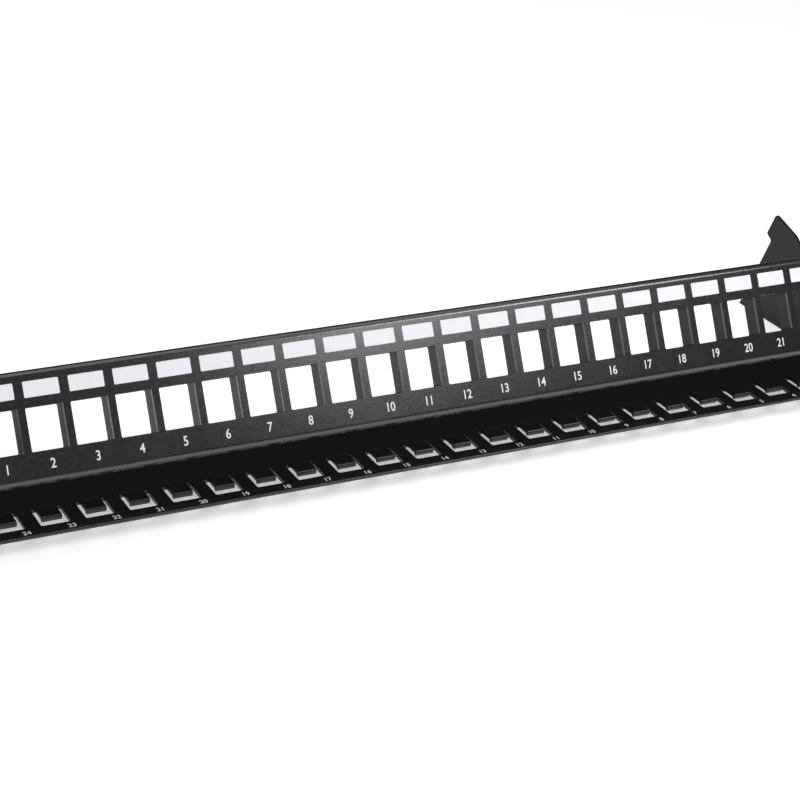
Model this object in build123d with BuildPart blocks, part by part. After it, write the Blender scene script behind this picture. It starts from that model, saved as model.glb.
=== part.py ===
from build123d import *
import os
from math import cos, radians, sin

# Tilting keystone patch panel on a cable manager, one rack unit high.
#
# Lengths are millimetres.  +X runs to the right along the panel, +Y to the rear, +Z up.
# The origin lies on the surface that the arms stand on, midway between the arms and
# midway between their front and rear ends.
#
# The panel's own pieces are laid out in two face coordinates: "up" along the leaning
# face from its centre, and "out" towards the person in front of it, from its front skin.
# Everything behind the front skin has a negative "out".

os.makedirs("parts", exist_ok=True)

# ---------------------------------------------------------------- driving dimensions
# Sheet steel and its bends
sheet = 1.5               # thickness of the face, end plates, arms and tray
inner_bend = 1.0          # inside bend radius
outer_bend = sheet + inner_bend
foot_bend = 3.0           # outside radius of the face's lower bend
flange_depth = 8.0        # how far the face's top and bottom flanges reach back
flange_relief = 0.5       # the flanges stop this far short of the end plates

# Ports
port_count = 24
port_width = 15.0
port_height = 16.94
port_corner = 0.6
frame_wall = 1.2          # side wall of a port frame
frame_gap = 0.6           # between neighbouring port frames
frame_head = 1.72         # frame above the opening
frame_sill = 3.04         # frame below the opening
frame_reach = 7.2         # depth of a frame behind the sheet
notch_width = 6.0         # latch notch in the frame's upper wall
notch_depth = 0.9
notch_length = 2.6
notch_setback = 1.2       # from the sheet's back to the notch

# Label carrier, whose write-on pads fill the windows, and its two rails
label_width = 14.3        # window over each port
label_height = 6.4
label_corner = 0.4
pad_clearance = 0.08      # pad to window, all round
pad_recess = 0.05         # pads sit this far under the front skin
carrier_margin = 0.7      # the carrier stands past the windows by this much
carrier_thickness = 1.0
carrier_inset = 0.5       # its ends stop short of the end plates' inner faces
carrier_gap = 0.1         # carrier to rail, each side, and to the rail's lip
rail_wall = 0.9
rail_lip = 1.1            # the rail's lip reaches this far over the carrier
bend_gap = 0.1            # top rail to the face's upper bend
frame_top_gap = 0.3       # port frames to the lower rail

# Ends of the panel
end_gap = 0.3             # last port frame to end plate
foot_margin = 9.6         # face below the port frames
ear_reach = 21.2          # the ears stand out past the arms by this much
ear_corner = 3.0
rack_hole_radius = 3.5
rack_hole_inset = 8.75    # hole centre from the ear's outer edge
rack_hole_rise = 31.75    # between the upper and lower holes
end_tab_margin = 0.7      # end plate's tab past its rivet heads
rivet_to_arm = 0.5        # ear rivet heads to the arms, along the panel
end_plate_below = 4.0     # end plate below the pivot
end_plate_behind = 12.0   # end plate behind the pivot
end_plate_top_gap = 1.55  # end plate's top to the lower rail

# Pivot
lean = 28.0               # the face leans back from upright by this many degrees
pivot_rise = 6.0          # pivot above the face's lower edge
pivot_behind = 3.3        # pivot behind the port frames
pivot_lift = 14.7         # pivot above the tray's tongues
pivot_setback = 22.3      # pivot behind the arms' front ends
screw_radius = 2.0
screw_head_radius = 3.8
screw_head_height = 2.2
recess_width = 0.9
recess_span = 4.2
recess_depth = 1.1
running_clearance = 0.05  # screw to end plate, radial
hole_clearance = 0.1      # screws and rivets in fixed plates, radial
thread_clearance = 0.03
washer_thickness = 1.0
washer_radius = 4.6
washer_play = 0.1         # washer to arm
nut_flats = 7.0
nut_thickness = 3.0
nut_play = 0.3            # nut to end plate
thread_past_nut = 0.4

# Arms
arm_length = 129.0
arm_front_gap = 3.25      # face's lower edge over the arm's front when it swings past
arm_front_corner = 5.0
arm_top = 27.0            # long upper edge behind the pivot
lobe_radius = 7.0
slope_foot = 60.8         # these are distances forward from the arm's rear corner
slope_head = 40.5
shoulder = 36.6
hook_tip = 19.4
notch_back = 14.2
notch_front = 18.3
slope_head_height = 46.5  # and these are their heights
shoulder_height = 49.8
hook_tip_height = 55.2
notch_back_height = 43.7
notch_front_height = 41.1

# Cable tie tray between the arms
tray_height = 13.05       # its upper surface above the table
tray_inset = 0.2          # its front edge behind the arms' front ends
tray_depth = 44.0
tray_lip = 8.0            # depth of its rear lip
tray_edge = 0.6
end_flap_drop = 10.0      # end flaps reach down from the tray's surface
end_flap_length = 37.0
end_flap_inset = 3.0
slot_width = 11.8
slot_length = 13.5
slot_corner = 0.8
slot_front = 6.4          # slot's front edge behind the tray's front edge
slot_shift = -1.1         # slots sit a little left of the ports
tongue_width = 8.2
tongue_shift = -0.4        # tongues sit left of the slots' middles
tongue_rise = 1.5
tongue_gap = 3.8          # tongue's free end behind the slot's front edge
tongue_curl = 2.3         # depth of the free end, which is turned down

# Rivets and the earthing stud
rivet_radius = 1.6
rivet_head_radius = 2.6
rivet_head_height = 0.9
rivet_clearance = 0.05
tray_rivet_count = 3
tray_rivet_pitch = 13.0
tray_rivet_drop = 6.0     # below the tray's surface
ear_rivet_pitch = 16.0
ground_radius = 2.5
ground_rise = 14.0        # above the table
ground_forward = 33.0     # in front of the arms' rear corner
ground_head_radius = 4.6
ground_head_height = 2.8
ground_washer_radius = 6.0
ground_nut_flats = 8.0
ground_nut_thickness = 4.0

# ---------------------------------------------------------------- positions worked out
# Along X
frame_width = port_width + 2 * frame_wall
port_pitch = frame_width + frame_gap
port_span = (port_count - 1) * port_pitch
end_inner = port_span / 2 + frame_width / 2 + end_gap
end_outer = end_inner + sheet
arm_inner = end_outer + washer_thickness + washer_play
arm_outer = arm_inner + sheet
panel_end = arm_outer + ear_reach
flange_end = end_inner - flange_relief
carrier_end = end_inner - carrier_inset
rack_hole_x = panel_end - rack_hole_inset
ear_rivet_x = arm_outer + rivet_to_arm + rivet_head_radius
tab_end = ear_rivet_x + rivet_head_radius + end_tab_margin

# Up the face
label_drop = outer_bend + bend_gap + rail_wall + carrier_gap + carrier_margin
label_to_port = carrier_margin + carrier_gap + rail_wall + frame_top_gap + frame_head
panel_height = (label_drop + label_height + label_to_port + port_height + frame_sill
                + foot_margin)
face_top = panel_height / 2
label_up = face_top - label_drop - label_height / 2
port_up = label_up - label_height / 2 - label_to_port - port_height / 2
frame_up = port_up + (frame_head - frame_sill) / 2
frame_height = port_height + frame_head + frame_sill
carrier_height = label_height + 2 * carrier_margin
rail_span = carrier_height + 2 * carrier_gap
pivot_up = -face_top + pivot_rise
end_plate_bottom = pivot_up - end_plate_below
end_plate_top = label_up - rail_span / 2 - rail_wall - end_plate_top_gap
ear_rivet_up = (end_plate_bottom + end_plate_top) / 2

# Out of the face, so all negative
lip_front = -sheet - carrier_thickness - carrier_gap
rail_back = lip_front - rail_wall
pivot_out = -sheet - frame_reach - pivot_behind

# In the object's frame
arm_front = -arm_length / 2
arm_rear = arm_length / 2
tongue_top = tray_height + tongue_rise
pivot_y = arm_front + pivot_setback
pivot_z = tongue_top + pivot_lift
arm_front_top = pivot_z - pivot_rise - arm_front_gap
lean_sin = sin(radians(lean))
lean_cos = cos(radians(lean))
face_y = pivot_y - lean_sin * pivot_up + lean_cos * pivot_out
face_z = pivot_z - lean_cos * pivot_up - lean_sin * pivot_out
tray_front = arm_front + tray_inset
tray_rear = tray_front + tray_depth
slot_y = tray_front + slot_front + slot_length / 2
tongue_root = slot_y + slot_length / 2
tongue_tip = tray_front + slot_front + tongue_gap
flap_end = tray_front + end_flap_inset + end_flap_length
tray_rivet_z = tray_height - tray_rivet_drop
tray_rivet_y = flap_end - end_flap_length / 2
ground_y = arm_rear - ground_forward


def face_plane(out=0.0):
    """Plane parallel to the face: local x along the panel, local y up the face."""
    centre = (0, face_y - out * lean_cos, face_z + out * lean_sin)
    return Plane(origin=centre, x_dir=(1, 0, 0), z_dir=(0, -lean_cos, lean_sin))


def side_plane(x):
    """Plane across the panel at x: local x up the face, local y out of the face."""
    return Plane(origin=(x, face_y, face_z), x_dir=(0, lean_sin, lean_cos), z_dir=(1, 0, 0))


def level_plane(up):
    """Plane square to the face: local x along the panel, local y behind the front skin."""
    foot = (0, face_y + up * lean_sin, face_z + up * lean_cos)
    return Plane(origin=foot, x_dir=(1, 0, 0), z_dir=(0, lean_sin, lean_cos))


def outward_plane(side, x, y, z):
    """Plane square to X that faces away from the middle on the given side."""
    return Plane(origin=(side * x, y, z), x_dir=(0, side, 0), z_dir=(side, 0, 0))


def save(part, name):
    """Label one finished piece and write its STEP file."""
    part.label = name
    export_step(part, f"parts/{name}.step")


def port_x(index):
    """Middle of a port, counted from 0 at the left."""
    return (index - (port_count - 1) / 2) * port_pitch


sides = ((-1, "left"), (1, "right"))

# ---------------------------------------------------------------- the panel
# Face plate: one folded sheet with flat ears, label windows and port openings
with BuildPart() as face_plate:
    with BuildSketch(side_plane(-flange_end)):
        with BuildLine():
            FilletPolyline(
                (-face_top, -flange_depth),
                (-face_top, 0),
                (face_top, 0),
                (face_top, -flange_depth),
                (face_top - sheet, -flange_depth),
                (face_top - sheet, -sheet),
                (-face_top + sheet, -sheet),
                (-face_top + sheet, -flange_depth),
                radius=[0, foot_bend, outer_bend, 0, 0, inner_bend, foot_bend - sheet, 0],
                close=True,
            )
        make_face()
    extrude(amount=2 * flange_end)
    with BuildSketch(face_plane(-sheet)) as ears:
        Rectangle(2 * panel_end, panel_height)
        fillet(ears.vertices(), ear_corner)
        Rectangle(2 * flange_end, panel_height, mode=Mode.SUBTRACT)
    extrude(amount=sheet)
    with BuildSketch(face_plane()):
        with Locations((0, port_up)):
            with GridLocations(port_pitch, 0, port_count, 1):
                RectangleRounded(port_width, port_height, port_corner)
        with Locations((0, label_up)):
            with GridLocations(port_pitch, 0, port_count, 1):
                RectangleRounded(label_width, label_height, label_corner)
        with GridLocations(2 * rack_hole_x, rack_hole_rise, 2, 2):
            Circle(rack_hole_radius)
        with Locations((0, ear_rivet_up)):
            with GridLocations(2 * ear_rivet_x, ear_rivet_pitch, 2, 2):
                Circle(rivet_radius + rivet_clearance)
    extrude(amount=-sheet, mode=Mode.SUBTRACT)
save(face_plate.part, "face_plate")

# End plates: angle pieces behind the ears that carry the pivots
for side, hand in sides:
    with BuildPart() as end_plate:
        with BuildSketch(level_plane(end_plate_bottom)):
            with BuildLine():
                FilletPolyline(
                    (side * end_inner, end_plate_behind - pivot_out),
                    (side * end_inner, sheet),
                    (side * tab_end, sheet),
                    (side * tab_end, 2 * sheet),
                    (side * end_outer, 2 * sheet),
                    (side * end_outer, end_plate_behind - pivot_out),
                    radius=[0, outer_bend, 0, 0, inner_bend, 0],
                    close=True,
                )
            make_face()
        extrude(amount=end_plate_top - end_plate_bottom)
        fillet(end_plate.edges().filter_by(Axis.X).sort_by(Axis.Y)[-2:], end_plate_below)
        with BuildSketch(side_plane(side * end_inner)):
            with Locations((pivot_up, pivot_out)):
                Circle(screw_radius + running_clearance)
        extrude(amount=side * sheet, mode=Mode.SUBTRACT)
        with BuildSketch(face_plane(-sheet)):
            with Locations((side * ear_rivet_x, ear_rivet_up)):
                with GridLocations(0, ear_rivet_pitch, 1, 2):
                    Circle(rivet_radius + rivet_clearance)
        extrude(amount=-sheet, mode=Mode.SUBTRACT)
    save(end_plate.part, f"end_plate_{hand}")

# Rivets that hold the end plates to the ears
with BuildPart() as ear_rivets:
    with BuildSketch(face_plane()):
        with Locations((0, ear_rivet_up)):
            with GridLocations(2 * ear_rivet_x, ear_rivet_pitch, 2, 2):
                Circle(rivet_radius)
    extrude(amount=-2 * sheet)
    for seat, direction in ((0, 1), (-2 * sheet, -1)):
        with BuildSketch(face_plane(seat)):
            with Locations((0, ear_rivet_up)):
                with GridLocations(2 * ear_rivet_x, ear_rivet_pitch, 2, 2):
                    Circle(rivet_head_radius)
        extrude(amount=direction * rivet_head_height, taper=30)
save(ear_rivets.part, "ear_rivets")

# Label carrier: one moulded strip behind the face, with a raised pad in each window
with BuildPart() as label_carrier:
    with BuildSketch(face_plane(-sheet)):
        with Locations((0, label_up)):
            Rectangle(2 * carrier_end, carrier_height)
    extrude(amount=-carrier_thickness)
    with BuildSketch(face_plane(-sheet)):
        with Locations((0, label_up)):
            with GridLocations(port_pitch, 0, port_count, 1):
                RectangleRounded(label_width - 2 * pad_clearance,
                                 label_height - 2 * pad_clearance, label_corner)
    extrude(amount=sheet - pad_recess)
save(label_carrier.part, "label_carrier")

# Rails: channels on the back of the face that hold the label carrier
for direction, edge in ((1, "top"), (-1, "bottom")):
    rail_inner = label_up + direction * rail_span / 2
    rail_outer = rail_inner + direction * rail_wall
    lip_edge = rail_inner - direction * rail_lip
    with BuildPart() as rail:
        with BuildSketch(side_plane(-flange_end)):
            with BuildLine():
                Polyline(
                    (rail_inner, -sheet),
                    (rail_outer, -sheet),
                    (rail_outer, rail_back),
                    (lip_edge, rail_back),
                    (lip_edge, lip_front),
                    (rail_inner, lip_front),
                    close=True,
                )
            make_face()
        extrude(amount=2 * flange_end)
    save(rail.part, f"label_channel_{edge}")

# Port frames: one moulded frame behind each opening, with latch notches
for index in range(port_count):
    with BuildPart() as port_frame:
        with BuildSketch(face_plane(-sheet)):
            with Locations((port_x(index), frame_up)):
                RectangleRounded(frame_width, frame_height, frame_wall / 2)
            with Locations((port_x(index), port_up)):
                RectangleRounded(port_width, port_height, port_corner, mode=Mode.SUBTRACT)
        extrude(amount=-frame_reach)
        with BuildSketch(face_plane(-sheet - notch_setback)):
            with Locations((port_x(index), port_up)):
                Rectangle(notch_width, port_height + 2 * notch_depth)
        extrude(amount=-notch_length, mode=Mode.SUBTRACT)
    save(port_frame.part, f"port_frame_{index + 1:02d}")

# ---------------------------------------------------------------- the pivots
for side, hand in sides:
    with BuildPart() as pivot_washer:
        with BuildSketch(outward_plane(side, end_outer, pivot_y, pivot_z)):
            Circle(washer_radius)
            Circle(screw_radius + hole_clearance, mode=Mode.SUBTRACT)
        extrude(amount=washer_thickness)
    save(pivot_washer.part, f"pivot_washer_{hand}")

    nut_back = end_inner - nut_play - nut_thickness
    shank_end = nut_back - thread_past_nut
    with BuildPart() as pivot_screw:
        with BuildSketch(outward_plane(side, arm_outer, pivot_y, pivot_z)):
            Circle(screw_head_radius)
        extrude(amount=screw_head_height)
        outward = Axis((0, 0, 0), (side, 0, 0))
        rim = pivot_screw.edges().filter_by(GeomType.CIRCLE).sort_by(outward)[-1]
        fillet(rim, screw_head_height / 3)
        with BuildSketch(outward_plane(side, shank_end, pivot_y, pivot_z)):
            Circle(screw_radius)
        extrude(amount=arm_outer - shank_end)
        with BuildSketch(outward_plane(side, arm_outer + screw_head_height, pivot_y, pivot_z)):
            Rectangle(recess_span, recess_width)
            Rectangle(recess_width, recess_span)
        extrude(amount=-recess_depth, mode=Mode.SUBTRACT)
    save(pivot_screw.part, f"pivot_screw_{hand}")

    with BuildPart() as pivot_nut:
        with BuildSketch(outward_plane(side, nut_back, pivot_y, pivot_z)):
            RegularPolygon(nut_flats / 2, 6, major_radius=False)
            Circle(screw_radius + thread_clearance, mode=Mode.SUBTRACT)
        extrude(amount=nut_thickness)
    save(pivot_nut.part, f"pivot_nut_{hand}")

# ---------------------------------------------------------------- the manager
# Arms: flat side plates that stand on the table, with a hooked rear end
for side, hand in sides:
    with BuildPart() as arm:
        with BuildSketch(Plane.YZ.offset(side * arm_inner)):
            with BuildLine():
                FilletPolyline(
                    (arm_front, 0),
                    (arm_rear, 0),
                    (arm_rear - notch_front, notch_front_height),
                    (arm_rear - notch_back, notch_back_height),
                    (arm_rear - hook_tip, hook_tip_height),
                    (arm_rear - shoulder, shoulder_height),
                    (arm_rear - slope_head, slope_head_height),
                    (arm_rear - slope_foot, arm_top),
                    (pivot_y, arm_top),
                    (pivot_y, arm_front_top),
                    (arm_front, arm_front_top),
                    radius=[1.5, 0, 1.0, 0.8, 1.2, 6.0, 3.0, 8.0, 0, 0, arm_front_corner],
                    close=True,
                )
            make_face()
            with Locations((pivot_y, pivot_z / 2)):
                Rectangle(2 * lobe_radius, pivot_z)
            with Locations((pivot_y, pivot_z)):
                Circle(lobe_radius)
                Circle(screw_radius + hole_clearance, mode=Mode.SUBTRACT)
            with Locations((tray_rivet_y, tray_rivet_z)):
                with GridLocations(tray_rivet_pitch, 0, tray_rivet_count, 1):
                    Circle(rivet_radius + rivet_clearance, mode=Mode.SUBTRACT)
            if side < 0:
                with Locations((ground_y, ground_rise)):
                    Circle(ground_radius + hole_clearance, mode=Mode.SUBTRACT)
        extrude(amount=side * sheet)
    save(arm.part, f"arm_{hand}")

# One lanced tongue, which rises from its slot's rear edge
with BuildPart() as tongue:
    with BuildSketch(Plane.YZ.offset(slot_shift + tongue_shift - tongue_width / 2)):
        with BuildLine():
            FilletPolyline(
                (tongue_root, tray_height - sheet),
                (tongue_root, tray_height),
                (tongue_root - tongue_rise, tongue_top),
                (tongue_tip, tongue_top),
                (tongue_tip, tongue_top - tongue_curl),
                (tongue_tip + sheet, tongue_top - tongue_curl),
                (tongue_tip + sheet, tongue_top - sheet),
                (tongue_root - tongue_rise + inner_bend / 2, tongue_top - sheet),
                radius=[0, 0, inner_bend, sheet / 2, sheet / 4, sheet / 4, inner_bend / 4, inner_bend / 2],
                close=True,
            )
        make_face()
    extrude(amount=tongue_width)

# Tie tray: a shelf with a rear lip, end flaps against the arms, slots and tongues
with BuildPart() as tie_tray:
    with BuildSketch(Plane.YZ.offset(outer_bend - arm_inner)):
        with BuildLine():
            FilletPolyline(
                (tray_front, tray_height),
                (tray_rear, tray_height),
                (tray_rear, tray_height - tray_lip),
                (tray_rear - sheet, tray_height - tray_lip),
                (tray_rear - sheet, tray_height - sheet),
                (tray_front, tray_height - sheet),
                radius=[tray_edge, outer_bend, 0, 0, inner_bend, tray_edge],
                close=True,
            )
        make_face()
    extrude(amount=2 * (arm_inner - outer_bend))
    for side, hand in sides:
        with BuildSketch(Plane.XZ.offset(-flap_end)):
            with BuildLine():
                FilletPolyline(
                    (side * (arm_inner - 2 * outer_bend), tray_height),
                    (side * arm_inner, tray_height),
                    (side * arm_inner, tray_height - end_flap_drop),
                    (side * (arm_inner - sheet), tray_height - end_flap_drop),
                    (side * (arm_inner - sheet), tray_height - sheet),
                    (side * (arm_inner - 2 * outer_bend), tray_height - sheet),
                    radius=[0, outer_bend, 0, 0, inner_bend, 0],
                    close=True,
                )
            make_face()
        extrude(amount=end_flap_length)
        with BuildSketch(outward_plane(side, arm_inner, tray_rivet_y, tray_rivet_z)):
            with GridLocations(tray_rivet_pitch, 0, tray_rivet_count, 1):
                Circle(rivet_radius + rivet_clearance)
        extrude(amount=-sheet, mode=Mode.SUBTRACT)
    with BuildSketch(Plane.XY.offset(tray_height)):
        with Locations((slot_shift, slot_y)):
            with GridLocations(port_pitch, 0, port_count, 1):
                RectangleRounded(slot_width, slot_length, slot_corner)
    extrude(amount=-sheet, mode=Mode.SUBTRACT)
    with GridLocations(port_pitch, 0, port_count, 1):
        add(tongue.part)
save(tie_tray.part, "tie_tray")

# Rivets through the end flaps and the arms
with BuildPart() as tray_rivets:
    for side, hand in sides:
        with BuildSketch(outward_plane(side, arm_inner - sheet, tray_rivet_y, tray_rivet_z)):
            with GridLocations(tray_rivet_pitch, 0, tray_rivet_count, 1):
                Circle(rivet_radius)
        extrude(amount=2 * sheet)
        for seat, direction in ((arm_inner - sheet, -1), (arm_outer, 1)):
            with BuildSketch(outward_plane(side, seat, tray_rivet_y, tray_rivet_z)):
                with GridLocations(tray_rivet_pitch, 0, tray_rivet_count, 1):
                    Circle(rivet_head_radius)
            extrude(amount=direction * rivet_head_height, taper=30)
save(tray_rivets.part, "tray_rivets")

# Earthing stud on the left arm: screw from inside, washer and nut outside
ground_washer_seat = arm_outer
ground_nut_seat = arm_outer + washer_thickness
ground_tip = ground_nut_seat + ground_nut_thickness + thread_past_nut
with BuildPart() as ground_screw:
    with BuildSketch(outward_plane(-1, arm_inner, ground_y, ground_rise)):
        Circle(ground_head_radius)
    extrude(amount=-ground_head_height)
    with BuildSketch(outward_plane(-1, arm_inner, ground_y, ground_rise)):
        Circle(ground_radius)
    extrude(amount=ground_tip - arm_inner)
save(ground_screw.part, "ground_screw")

with BuildPart() as ground_washer:
    with BuildSketch(outward_plane(-1, ground_washer_seat, ground_y, ground_rise)):
        Circle(ground_washer_radius)
        Circle(ground_radius + hole_clearance, mode=Mode.SUBTRACT)
    extrude(amount=washer_thickness)
save(ground_washer.part, "ground_washer")

with BuildPart() as ground_nut:
    with BuildSketch(outward_plane(-1, ground_nut_seat, ground_y, ground_rise)):
        RegularPolygon(ground_nut_flats / 2, 6, major_radius=False)
        Circle(ground_radius + thread_clearance, mode=Mode.SUBTRACT)
    extrude(amount=ground_nut_thickness)
save(ground_nut.part, "ground_nut")
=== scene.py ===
# %% [markdown]
# # A tilting keystone patch panel on its cable manager
#
# The real object is folded sheet steel with a satin black powder coat. A narrow face holds
# a row of square port openings with a label window over each, and leans back above a tray
# with lanced slots for cable ties. The steel, the screws and the port frames come from the
# CAD model, which is loaded as a fixed frame. This script adds what a printer and a paint
# shop would add: the numerals, the finishes, the light, the floor and the camera.

# %% Load the fixed frame
import bpy
import bmesh
import math
from mathutils import Matrix, Vector


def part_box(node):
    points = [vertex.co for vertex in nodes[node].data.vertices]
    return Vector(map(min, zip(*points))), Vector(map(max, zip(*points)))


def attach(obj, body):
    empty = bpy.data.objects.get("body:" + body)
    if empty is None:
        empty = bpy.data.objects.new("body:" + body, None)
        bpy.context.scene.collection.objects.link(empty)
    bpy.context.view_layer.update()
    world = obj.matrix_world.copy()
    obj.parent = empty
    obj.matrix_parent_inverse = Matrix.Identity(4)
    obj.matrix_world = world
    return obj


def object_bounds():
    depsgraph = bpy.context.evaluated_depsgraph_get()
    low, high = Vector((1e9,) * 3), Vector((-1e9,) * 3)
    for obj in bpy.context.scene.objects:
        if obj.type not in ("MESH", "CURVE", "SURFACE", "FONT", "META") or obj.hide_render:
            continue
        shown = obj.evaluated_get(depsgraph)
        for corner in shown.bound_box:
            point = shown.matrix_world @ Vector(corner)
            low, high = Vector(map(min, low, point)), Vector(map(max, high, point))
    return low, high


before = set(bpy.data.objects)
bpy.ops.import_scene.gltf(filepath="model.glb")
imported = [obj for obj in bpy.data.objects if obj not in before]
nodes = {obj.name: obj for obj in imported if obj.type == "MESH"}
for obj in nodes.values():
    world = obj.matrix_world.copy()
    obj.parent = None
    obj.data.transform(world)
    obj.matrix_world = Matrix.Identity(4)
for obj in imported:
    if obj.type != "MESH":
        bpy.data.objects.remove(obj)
cad_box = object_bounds()

# %% [markdown]
# Everything is in metres, so a helper that turns millimetres into metres keeps the sizes
# readable. The face is a plane that leans back by a known angle, and the printing and one
# of the lights need that plane. The port frames' boxes give the ports' places along it.

# %% Units and the face's own coordinates
def mm(value):
    """A length in millimetres, as metres."""
    return value / 1000


lean = math.radians(28)
panel_height = mm(44)
face_up = Vector((0, math.sin(lean), math.cos(lean)))
face_out = Vector((0, -math.cos(lean), math.sin(lean)))
face_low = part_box("face_plate")[0]
port_names = sorted(name for name in nodes if name.startswith("port_frame_"))
port_x = [sum(corner.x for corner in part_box(name)) / 2 for name in port_names]
port_pitch = port_x[1] - port_x[0]
print("ports:", len(port_x), "pitch in mm:", round(port_pitch * 1000, 3))

# %% [markdown]
# The plate's foremost point is the front of its lower edge. Its lowest point is the rear
# edge of the flange that is folded back there, and the flange has a known depth, so both
# together give that front edge. Half the height up the face from it is the face's centre.

# %% Centre of the face
flange_depth = mm(8)
lower_front = Vector((0, face_low.y, face_low.z + flange_depth * math.sin(lean)))
face_centre = lower_front + face_up * panel_height / 2
print("face centre in mm:", [round(value * 1000, 2) for value in face_centre])


def on_face(x, up, out):
    """A point given along the panel, up the face from its centre, and out of its skin."""
    return face_centre + Vector((x, 0, 0)) + face_up * up + face_out * out


def face_matrix(x, up, out):
    """Turns flat artwork in the XY plane into artwork that lies on the face."""
    along = Vector((1, 0, 0))
    turn = Matrix((along, face_up, face_out)).transposed().to_4x4()
    return Matrix.Translation(on_face(x, up, out)) @ turn


# %% [markdown]
# ## Camera
#
# The camera stands to the left and looks down on the panel with a long lens, so the row of
# ports runs past both sides of the view. It is set first, because every later choice is
# judged through it. Its rotation is built from three plain angles.

# %% Camera
camera_place = Vector((mm(-414.4), mm(-735.1), mm(404.6)))
camera_turn = math.radians(28.68)
camera_dip = math.radians(25.18)
camera_roll = math.radians(3.76)
camera_data = bpy.data.cameras.new("camera")
camera_data.lens = 94.23
camera_data.sensor_width = 36
camera = bpy.data.objects.new("camera", camera_data)
camera.matrix_world = (
    Matrix.Translation(camera_place)
    @ Matrix.Rotation(-camera_turn, 4, "Z")
    @ Matrix.Rotation(math.pi / 2 - camera_dip, 4, "X")
    @ Matrix.Rotation(camera_roll, 4, "Z")
)
bpy.context.scene.collection.objects.link(camera)
bpy.context.scene.camera = camera
print("camera lens:", camera_data.lens, "mm")

# %% [markdown]
# ## Shader maths
#
# Node trees are hard to read as lists of links. A small class wraps one socket, so that
# grains are scaled and added in an expression. Every node is made by one method, from its
# type, its settings and its inputs.

# %% A socket that takes part in expressions
class Wire:
    """One output socket inside a material's node tree."""

    def __init__(self, finish, socket):
        self.finish = finish
        self.socket = socket

    def _math(self, operation, first, second):
        settings = {"operation": operation}
        return self.finish.node("ShaderNodeMath", settings, {0: first, 1: second})

    def __add__(self, other):
        return self._math("ADD", self, other)

    def __rmul__(self, other):
        return self._math("MULTIPLY", other, self)


# %% A finish: one material and the nodes in it
class Finish:
    """A node material whose Principled shader takes plain values or wires."""

    def __init__(self, name, **values):
        self.material = bpy.data.materials.new(name)
        self.material.use_nodes = True
        self.tree = self.material.node_tree
        self.shader = self.tree.nodes["Principled BSDF"]
        self.place = self.node("ShaderNodeTexCoord", {}, {}, "Object")
        self.set(**values)

    def node(self, kind, settings, inputs, output=0):
        """Makes a node, sets its settings, then its sockets, and returns one output."""
        made = self.tree.nodes.new(kind)
        for key, value in settings.items():
            setattr(made, key, value)
        for key, value in inputs.items():
            self._feed(made.inputs[key], value)
        return Wire(self, made.outputs[output])

    def _feed(self, socket, value):
        if isinstance(value, Wire):
            self.tree.links.new(value.socket, socket)
        else:
            socket.default_value = value

    def set(self, **values):
        """Sets Principled sockets, written with underscores in place of spaces."""
        for key, value in values.items():
            self._feed(self.shader.inputs[key.replace("_", " ")], value)

    def grain(self, size, detail=2.0, lift=0.5):
        """Noise from 0 to 1 whose grains are about the given size in metres."""
        return self.node(
            "ShaderNodeTexNoise",
            {"noise_dimensions": "3D"},
            {"Vector": self.place, "Scale": 1 / size, "Detail": detail, "Roughness": lift},
        )

    def stretch(self, x, y, z):
        """The object's place with each axis scaled, for grain that runs one way."""
        return self.node(
            "ShaderNodeMapping", {}, {"Vector": self.place, "Scale": (x, y, z)})

    def band(self, wire, low, high, to_low=0.0, to_high=1.0):
        """Maps a wire from one range to another, held at both ends."""
        return self.node(
            "ShaderNodeMapRange",
            {"clamp": True},
            {"Value": wire, "From Min": low, "From Max": high,
             "To Min": to_low, "To Max": to_high},
        )

    def blend(self, factor, first, second):
        """Mixes two colours by a factor."""
        return self.node(
            "ShaderNodeMix", {"data_type": "RGBA"}, {0: factor, 6: first, 7: second}, 2)

    def bump(self, height, strength, distance):
        """Turns a height into a bumped normal."""
        return self.node(
            "ShaderNodeBump", {},
            {"Height": height, "Strength": strength, "Distance": distance}, "Normal")


def paint(finish, *names):
    """Gives a finish to CAD nodes."""
    for name in names:
        slots = nodes[name].data.materials
        slots.clear()
        slots.append(finish.material)
    print(finish.material.name, "on", len(names), "nodes")


# %% [markdown]
# ## Powder coat
#
# The steel is sprayed with black powder and baked. The film is satin, and it flows into
# a very fine orange peel that breaks up reflections. So the finish is a nearly black
# base, a middling roughness that varies a little, and two heights of bump: the soft peel,
# about a millimetre across, and the powder's own fine grain. The face, the tray and the
# arms take the same recipe with their own gloss, sheen and tint, which set each one's
# tone. The tray's tint is darker than the face's: that is painted shade, which keeps the
# tray nearly black.

# %% Powder coat
def powder_coat(name, tint, gloss, peel, sheen=0.5):
    """Satin black powder coat: tint is its colour, gloss its roughness."""
    coat = Finish(name)
    soft = coat.grain(mm(1.6))
    fine = coat.grain(mm(0.28), detail=1.0)
    cloud = coat.grain(mm(38))
    dark = tuple(0.86 * value for value in tint) + (1,)
    light = tuple(1.12 * value for value in tint) + (1,)
    coat.set(
        Base_Color=coat.blend(cloud, dark, light),
        Roughness=coat.band(soft + 0.5 * cloud, 0.4, 1.1, gloss - 0.035, gloss + 0.035),
        Specular_IOR_Level=sheen,
        Normal=coat.bump(soft + 0.5 * fine, peel, mm(0.02)),
    )
    return coat


steel_coat = powder_coat("satin_powder_coat", (0.006, 0.006, 0.0065), 0.27, 0.2, sheen=0.8)
paint(steel_coat, "face_plate", "end_plate_left", "end_plate_right")
# The tray's coat is a darker copy of the face's coat, and its lower tint is painted shade.
tray_coat_with_painted_shade = powder_coat("tray_powder_coat_painted_shade", (0.0035, 0.0035, 0.0038), 0.36, 0.35, sheen=0.5)
paint(tray_coat_with_painted_shade, "tie_tray")
arm_coat = powder_coat("arm_powder_coat", (0.005, 0.005, 0.0055), 0.42, 0.4, sheen=0.22)
paint(arm_coat, "arm_left", "arm_right")

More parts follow.
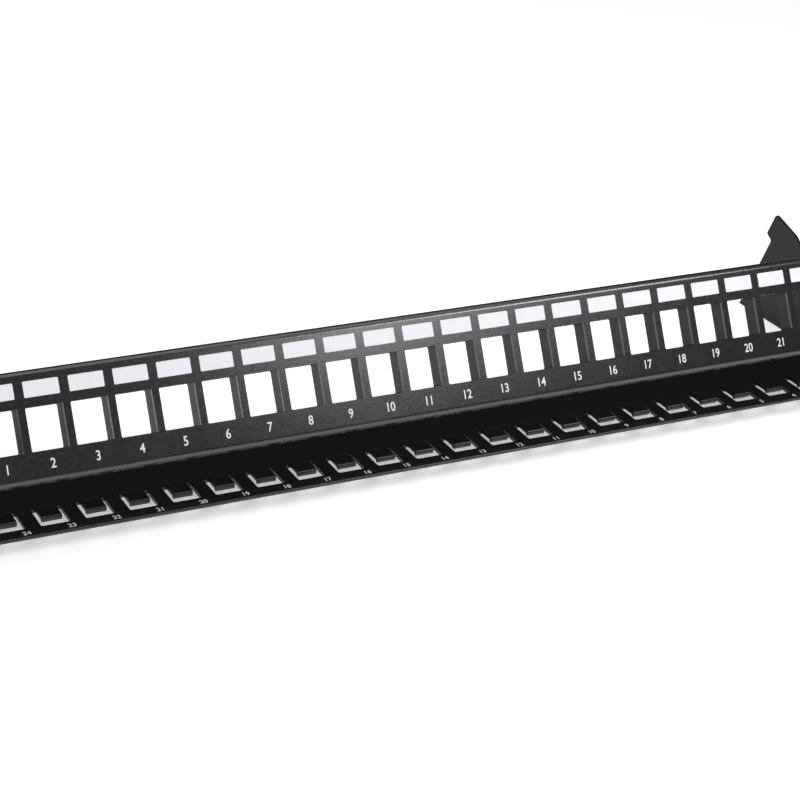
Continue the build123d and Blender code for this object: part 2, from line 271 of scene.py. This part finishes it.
# %% [markdown]
# ## Moulded port frames and rails
#
# Behind each opening sits a moulded frame. Its plastic is a little duller than the
# powder coat and has a spark-eroded texture from the mould, which is finer than the
# orange peel. Fine lines run in the direction that the part leaves its mould. The two
# label rails take the same recipe, a little lighter and glossier.

# %% Moulded plastic
def moulded(name, tint, gloss):
    """Spark-eroded black plastic."""
    resin = Finish(name)
    spark = resin.grain(mm(0.35), detail=3.0, lift=0.6)
    draw = resin.node(
        "ShaderNodeTexNoise", {"noise_dimensions": "3D"},
        {"Vector": resin.stretch(1, 0.15, 0.15), "Scale": 1 / mm(0.6), "Detail": 1.0})
    tone = resin.grain(mm(9))
    resin.set(
        Base_Color=resin.blend(tone, tuple(0.9 * v for v in tint) + (1,),
                               tuple(1.1 * v for v in tint) + (1,)),
        Roughness=resin.band(spark, 0.3, 0.7, gloss - 0.04, gloss + 0.05),
        Specular_IOR_Level=0.3,
        Normal=resin.bump(spark + 0.4 * draw, 0.3, mm(0.015)),
    )
    return resin


port_resin = moulded("moulded_port_frame", (0.006, 0.006, 0.0063), 0.46)
paint(port_resin, *port_names)
rail_resin = moulded("extruded_rail", (0.012, 0.012, 0.0125), 0.40)
paint(rail_resin, "label_channel_top", "label_channel_bottom")

# %% [markdown]
# ## Label carrier
#
# The write-on pads are moulded in a white plastic with a faint lavender cast. It is matt,
# so that a pen holds on it. Its tone drifts a little, and a fine grain breaks the sheen.
# Its base colour is set well below white, because the lights on the face are strong and
# a true white would clip and lose its cast.

# %% White label plastic
pad_white = Finish("label_white")
pad_grain = pad_white.grain(mm(0.3), detail=3.0, lift=0.6)
pad_mottle = pad_white.grain(mm(6))
pad_white.set(
    Base_Color=pad_white.blend(pad_mottle, (0.48, 0.48, 0.515, 1), (0.51, 0.51, 0.545, 1)),
    Roughness=pad_white.band(pad_grain, 0.3, 0.7, 0.58, 0.7),
    Normal=pad_white.bump(pad_grain, 0.12, mm(0.01)),
)
paint(pad_white, "label_carrier")

# %% [markdown]
# ## Zinc plate and painted rivets
#
# The screws, nuts and washers are zinc plated, with a fine grain and a cloudy
# passivation. The rivets are painted with the steel, so they wear the powder coat.

# %% Fasteners
zinc = Finish("zinc_plate", Metallic=1.0)
plate_grain = zinc.grain(mm(0.25), detail=2.0)
passivation = zinc.grain(mm(2.5))
zinc.set(
    Base_Color=zinc.blend(passivation, (0.56, 0.57, 0.58, 1), (0.70, 0.69, 0.66, 1)),
    Roughness=zinc.band(plate_grain + passivation, 0.6, 1.4, 0.24, 0.42),
    Normal=zinc.bump(plate_grain, 0.2, mm(0.01)),
)
paint(zinc, "pivot_screw_left", "pivot_screw_right", "pivot_nut_left", "pivot_nut_right",
      "pivot_washer_left", "pivot_washer_right", "ground_screw", "ground_washer",
      "ground_nut")
rivet_coat = powder_coat("painted_rivet", (0.024, 0.024, 0.025), 0.36, 0.5)
paint(rivet_coat, "ear_rivets", "tray_rivets")

# %% [markdown]
# ## Printed numerals
#
# The numbers are screen printed in white. The port numbers stand under the ports. The
# tray's numbers count the other way, which is the order they have from behind the rack.
# Print is a thin film with its own thickness, so each number is a text curve that is
# made a mesh, laid on its plane, and joined into one film for each row. Narrowing the
# digits a little gives the plain sans-serif of engraved and printed panels.

# %% White ink
ink = Finish("white_ink")
ink_grain = ink.grain(mm(0.3), detail=2.0)
ink.set(
    Base_Color=ink.blend(ink_grain, (0.42, 0.42, 0.43, 1), (0.50, 0.50, 0.51, 1)),
    Roughness=ink.band(ink_grain, 0.3, 0.7, 0.45, 0.6),
    Normal=ink.bump(ink_grain, 0.2, mm(0.01)),
)


# %% One row of printed numbers
def print_row(name, body, labels, height, squeeze, weight, film):
    """Prints numbers as one thin film. labels pairs each text with its matrix."""
    digit_height = 0.729      # of the font's size
    sheet_of_print = bmesh.new()
    for text, matrix in labels:
        curve = bpy.data.curves.new("number", "FONT")
        curve.body = text
        curve.size = height / digit_height
        curve.align_x = "CENTER"
        curve.align_y = "BOTTOM_BASELINE"
        curve.offset = weight
        curve.extrude = film / 2
        curve.resolution_u = 5
        typed = bpy.data.objects.new("number", curve)
        bpy.context.scene.collection.objects.link(typed)
        bpy.context.view_layer.update()
        shape = bpy.data.meshes.new_from_object(typed)
        middle = Matrix.Translation((0, -height / 2, film / 2))
        narrow = Matrix.Diagonal((squeeze, 1, 1, 1))
        shape.transform(matrix @ middle @ narrow)
        sheet_of_print.from_mesh(shape)
        bpy.data.objects.remove(typed)
        bpy.data.meshes.remove(shape)
        bpy.data.curves.remove(curve)
    bmesh.ops.remove_doubles(sheet_of_print, verts=sheet_of_print.verts, dist=mm(0.001))
    bmesh.ops.recalc_face_normals(sheet_of_print, faces=sheet_of_print.faces)
    mesh = bpy.data.meshes.new(name)
    sheet_of_print.to_mesh(mesh)
    sheet_of_print.free()
    piece = bpy.data.objects.new(name, mesh)
    bpy.context.scene.collection.objects.link(piece)
    mesh.materials.append(ink.material)
    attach(piece, body)
    print(name, "faces:", len(mesh.polygons))


# %% Port numbers under the ports
number_height = mm(3.9)
number_up = mm(-14.4)
print_film = mm(0.05)
port_labels = [
    (str(index + 1), face_matrix(x, number_up, 0)) for index, x in enumerate(port_x)]
port_squeeze = 0.84
port_weight = mm(0.06)
print_row(
    "port_numbers", "panel", port_labels, number_height, port_squeeze, port_weight, print_film)

# %% Tray numbers in front of the slots
tray_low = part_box("tie_tray")[0]
tray_top = mm(13.05)
tray_number_height = mm(2.7)
tray_number_back = mm(3.1)
tray_number_shift = mm(4.2)


def tray_matrix(x):
    """Lays a number flat on the tray's front margin."""
    return Matrix.Translation((x + tray_number_shift, tray_low.y + tray_number_back, tray_top))


tray_labels = [
    (str(len(port_x) - index), tray_matrix(x)) for index, x in enumerate(port_x)]
tray_squeeze = 0.92
tray_weight = mm(0.05)
print_row(
    "tray_numbers", "manager", tray_labels, tray_number_height, tray_squeeze, tray_weight,
    print_film)

# %% [markdown]
# ## Floor and light
#
# The panel stands on a sheet of white studio paper. The paper glows a little, which keeps
# it white all over the camera's view and lightens the shadow by the tray. Black powder coat
# shows what it mirrors more than its own colour, so the surroundings matter: the studio
# beyond the panel is dark, and that keeps the tray nearly black.

# %% Floor
floor_size = 8.0
floor_glow = 0.42
floor_mesh = bpy.data.meshes.new("floor")
floor_form = bmesh.new()
bmesh.ops.create_grid(floor_form, x_segments=1, y_segments=1, size=floor_size / 2)
floor_form.to_mesh(floor_mesh)
floor_form.free()
floor = bpy.data.objects.new("floor", floor_mesh)
bpy.context.scene.collection.objects.link(floor)
floor.location.z = cad_box[0].z
paper = Finish("studio_paper")
paper.set(
    Base_Color=(0.88, 0.88, 0.88, 1),
    Roughness=0.9,
    Specular_IOR_Level=0.1,
    Emission_Color=(1, 1, 1, 1),
    Emission_Strength=floor_glow,
)
floor_mesh.materials.append(paper.material)
print("floor at", round(floor.location.z, 5))

# %% World
world_strength = 0.02
world = bpy.data.worlds.new("studio")
bpy.context.scene.world = world
world.use_nodes = True
backdrop = world.node_tree.nodes["Background"]
backdrop.inputs["Color"].default_value = (1, 1, 1, 1)
backdrop.inputs["Strength"].default_value = world_strength
bpy.context.scene.view_settings.view_transform = "Standard"
print("world strength:", world_strength)

# %% [markdown]
# Three soft boxes light the scene. The overhead one whitens the paper and gives the soft
# contact shadow. The one on the camera's side lights the labels and the front of the
# panel. The strip is the one that the face mirrors: it is aimed at the face's upper edge,
# so the middle and top of the panel come out greyer than its ends and foot. A soft box's
# power follows from its radiance, so resizing one does not change how bright its
# reflection is.


# %% Lights
def soft_light(name, place, target, size, radiance):
    """A rectangular soft box that faces its target and glows with the given radiance."""
    data = bpy.data.lights.new(name, "AREA")
    data.shape = "RECTANGLE"
    data.size, data.size_y = size
    data.energy = radiance * math.pi * size[0] * size[1]
    lamp = bpy.data.objects.new(name, data)
    lamp.location = place
    lamp.rotation_euler = (Vector(target) - Vector(place)).to_track_quat("-Z", "Y").to_euler()
    bpy.context.scene.collection.objects.link(lamp)
    print(name, "power:", round(data.energy, 1))


brow = on_face(0.0, panel_height / 2, 0)
boxes = {
    "overhead": dict(
        place=(0.0, 0.1, 2.6), target=(0, 0.1, 0), size=(3.2, 2.6), radiance=1.8),
    "camera_side": dict(
        place=(-0.85, -1.60, 0.95), target=(0, 0, 0.03), size=(1.0, 1.4), radiance=7.5),
    "face_strip": dict(
        place=(0.23, -0.318, 0.33), target=tuple(brow), size=(0.30, 0.07), radiance=18.0),
}
for box_name, box in boxes.items():
    soft_light(box_name, **box)
